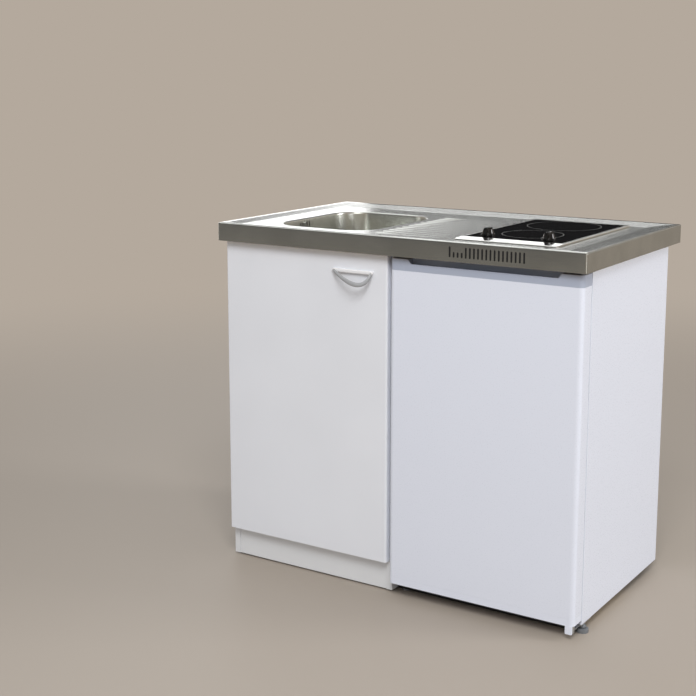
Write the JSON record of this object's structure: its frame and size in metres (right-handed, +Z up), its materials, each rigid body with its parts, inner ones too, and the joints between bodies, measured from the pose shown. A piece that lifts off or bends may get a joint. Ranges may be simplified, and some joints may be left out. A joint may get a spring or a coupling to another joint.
{
  "type": "kitchenette unit with sink and hob",
  "caption": "Compact kitchenette: a pressed steel worktop with bowl, drainer and glass hob over a sink cabinet and an under-counter refrigerator.",
  "frame": {"origin": "middle of the footprint on the floor, the footprint taken with the cabinet's handle", "axes": "+X along the front from the sink to the hob, +Y from the front to the wall, +Z up"},
  "size_m": [1, 0.614, 0.9108],
  "materials": {
    "sheet_steel": "satin pressed stainless sheet",
    "bright_steel": "bright stainless",
    "batten_wood": "raw chipboard",
    "drain_plastic": "white polypropylene",
    "ceramic_glass": "black glass ceramic, polished",
    "zinc_sheet": "zinc plated sheet",
    "heater_mineral": "mineral fibre dish in sheet",
    "black_plastic": "black phenolic",
    "beige_plastic": "moulded",
    "carcass_board": "white melamine faced chipboard",
    "door_board": "white melamine faced chipboard",
    "white_plastic": "moulded",
    "grey_plastic": "moulded",
    "fridge_paint": "white stove enamel",
    "foam": "rigid foam",
    "dark_steel": "black painted steel",
    "tray_plastic": "moulded",
    "shelf_glass": "clear safety glass",
    "clear_plastic": "clear polystyrene",
    "strip_plastic": "pale blue grey moulding",
    "seal_rubber": "grey vinyl seal"
  },
  "bodies": {
    "unit": {"worktop": "sheet_steel", "sink_bowl": "sheet_steel", "subframe": "batten_wood", "strainer_waste": "bright_steel", "overflow_screw": "bright_steel", "overflow_box": "drain_plastic", "overflow_pipe": "drain_plastic", "trap_body": "drain_plastic", "trap_outlet": "drain_plastic", "hob_frame": "bright_steel", "hob_glass": "ceramic_glass", "hob_pan": "zinc_sheet", "heater_rear": "heater_mineral", "heater_front": "heater_mineral", "regulator_left": "beige_plastic", "regulator_right": "beige_plastic", "hob_gland": "black_plastic", "hob_clamps": "zinc_sheet", "cabinet_side_left": "carcass_board", "cabinet_side_right": "carcass_board", "cabinet_floor": "carcass_board", "cabinet_back": "carcass_board", "cabinet_rails": "carcass_board", "plinth": "carcass_board", "cabinet_glides": "grey_plastic", "hinge_arms": "zinc_sheet", "fridge_wrap": "fridge_paint", "fridge_insulation": "foam", "fridge_liner": "white_plastic", "fridge_base": "dark_steel", "front_rail": "dark_steel", "compressor": "dark_steel", "condenser": "dark_steel", "drip_tray": "tray_plastic", "thermostat_housing": "white_plastic", "lamp_cover": "white_plastic", "glass_shelf_upper": "shelf_glass", "glass_shelf_lower": "shelf_glass", "crisper_cover": "shelf_glass", "front_feet": "grey_plastic", "rear_feet": "grey_plastic", "lower_hinge": "zinc_sheet", "upper_hinge": "zinc_sheet"},
    "cabinet_door": {"cabinet_door": "door_board", "door_handle": "white_plastic", "handle_screws": "zinc_sheet", "hinge_cups": "zinc_sheet", "door_bumpers": "white_plastic"},
    "fridge_door": {"fridge_door_panel": "fridge_paint", "door_top_trim": "strip_plastic", "door_bottom_trim": "white_plastic", "fridge_door_liner": "white_plastic", "door_gasket": "seal_rubber", "door_rack_upper": "clear_plastic", "door_rack_lower": "clear_plastic"},
    "knob_left": {"knob_left": "black_plastic"},
    "knob_right": {"knob_right": "black_plastic"},
    "thermostat_knob": {"thermostat_knob": "white_plastic"},
    "strainer_basket": {"strainer_basket": "bright_steel"},
    "crisper_drawer": {"crisper_drawer": "clear_plastic"}
  },
  "joints": [
    {"name": "cabinet_door_hinge", "type": "hinge", "parent": "unit", "child": "cabinet_door", "pos_m": [-0.488, -0.257, 0.46], "axis": [0, 0, -1], "range_deg": [0, 110]},
    {"name": "fridge_door_hinge", "type": "hinge", "parent": "unit", "child": "fridge_door", "pos_m": [0.476, -0.259, 0.43], "axis": [0, 0, 1], "range_deg": [0, 120]},
    {"name": "knob_left_turn", "type": "hinge", "parent": "unit", "child": "knob_left", "pos_m": [0.199, -0.165, 0.9], "axis": [0, 0, -1], "range_deg": [0, 270]},
    {"name": "knob_right_turn", "type": "hinge", "parent": "unit", "child": "knob_right", "pos_m": [0.353, -0.165, 0.9], "axis": [0, 0, -1], "range_deg": [0, 270]},
    {"name": "thermostat_turn", "type": "hinge", "parent": "unit", "child": "thermostat_knob", "pos_m": [0.415, -0.1075, 0.754], "axis": [1, 0, 0], "range_deg": [0, 270]},
    {"name": "basket_lift", "type": "slide", "parent": "unit", "child": "strainer_basket", "axis": [0, 0, 1], "range_m": [0, 0.06]},
    {"name": "crisper_slide", "type": "slide", "parent": "unit", "child": "crisper_drawer", "axis": [0, -1, 0], "range_m": [0, 0.15]}
  ],
  "couplings": [
    {"joint": "crisper_slide", "follows": "fridge_door_hinge", "m_per_rad": 0.06}
  ]
}
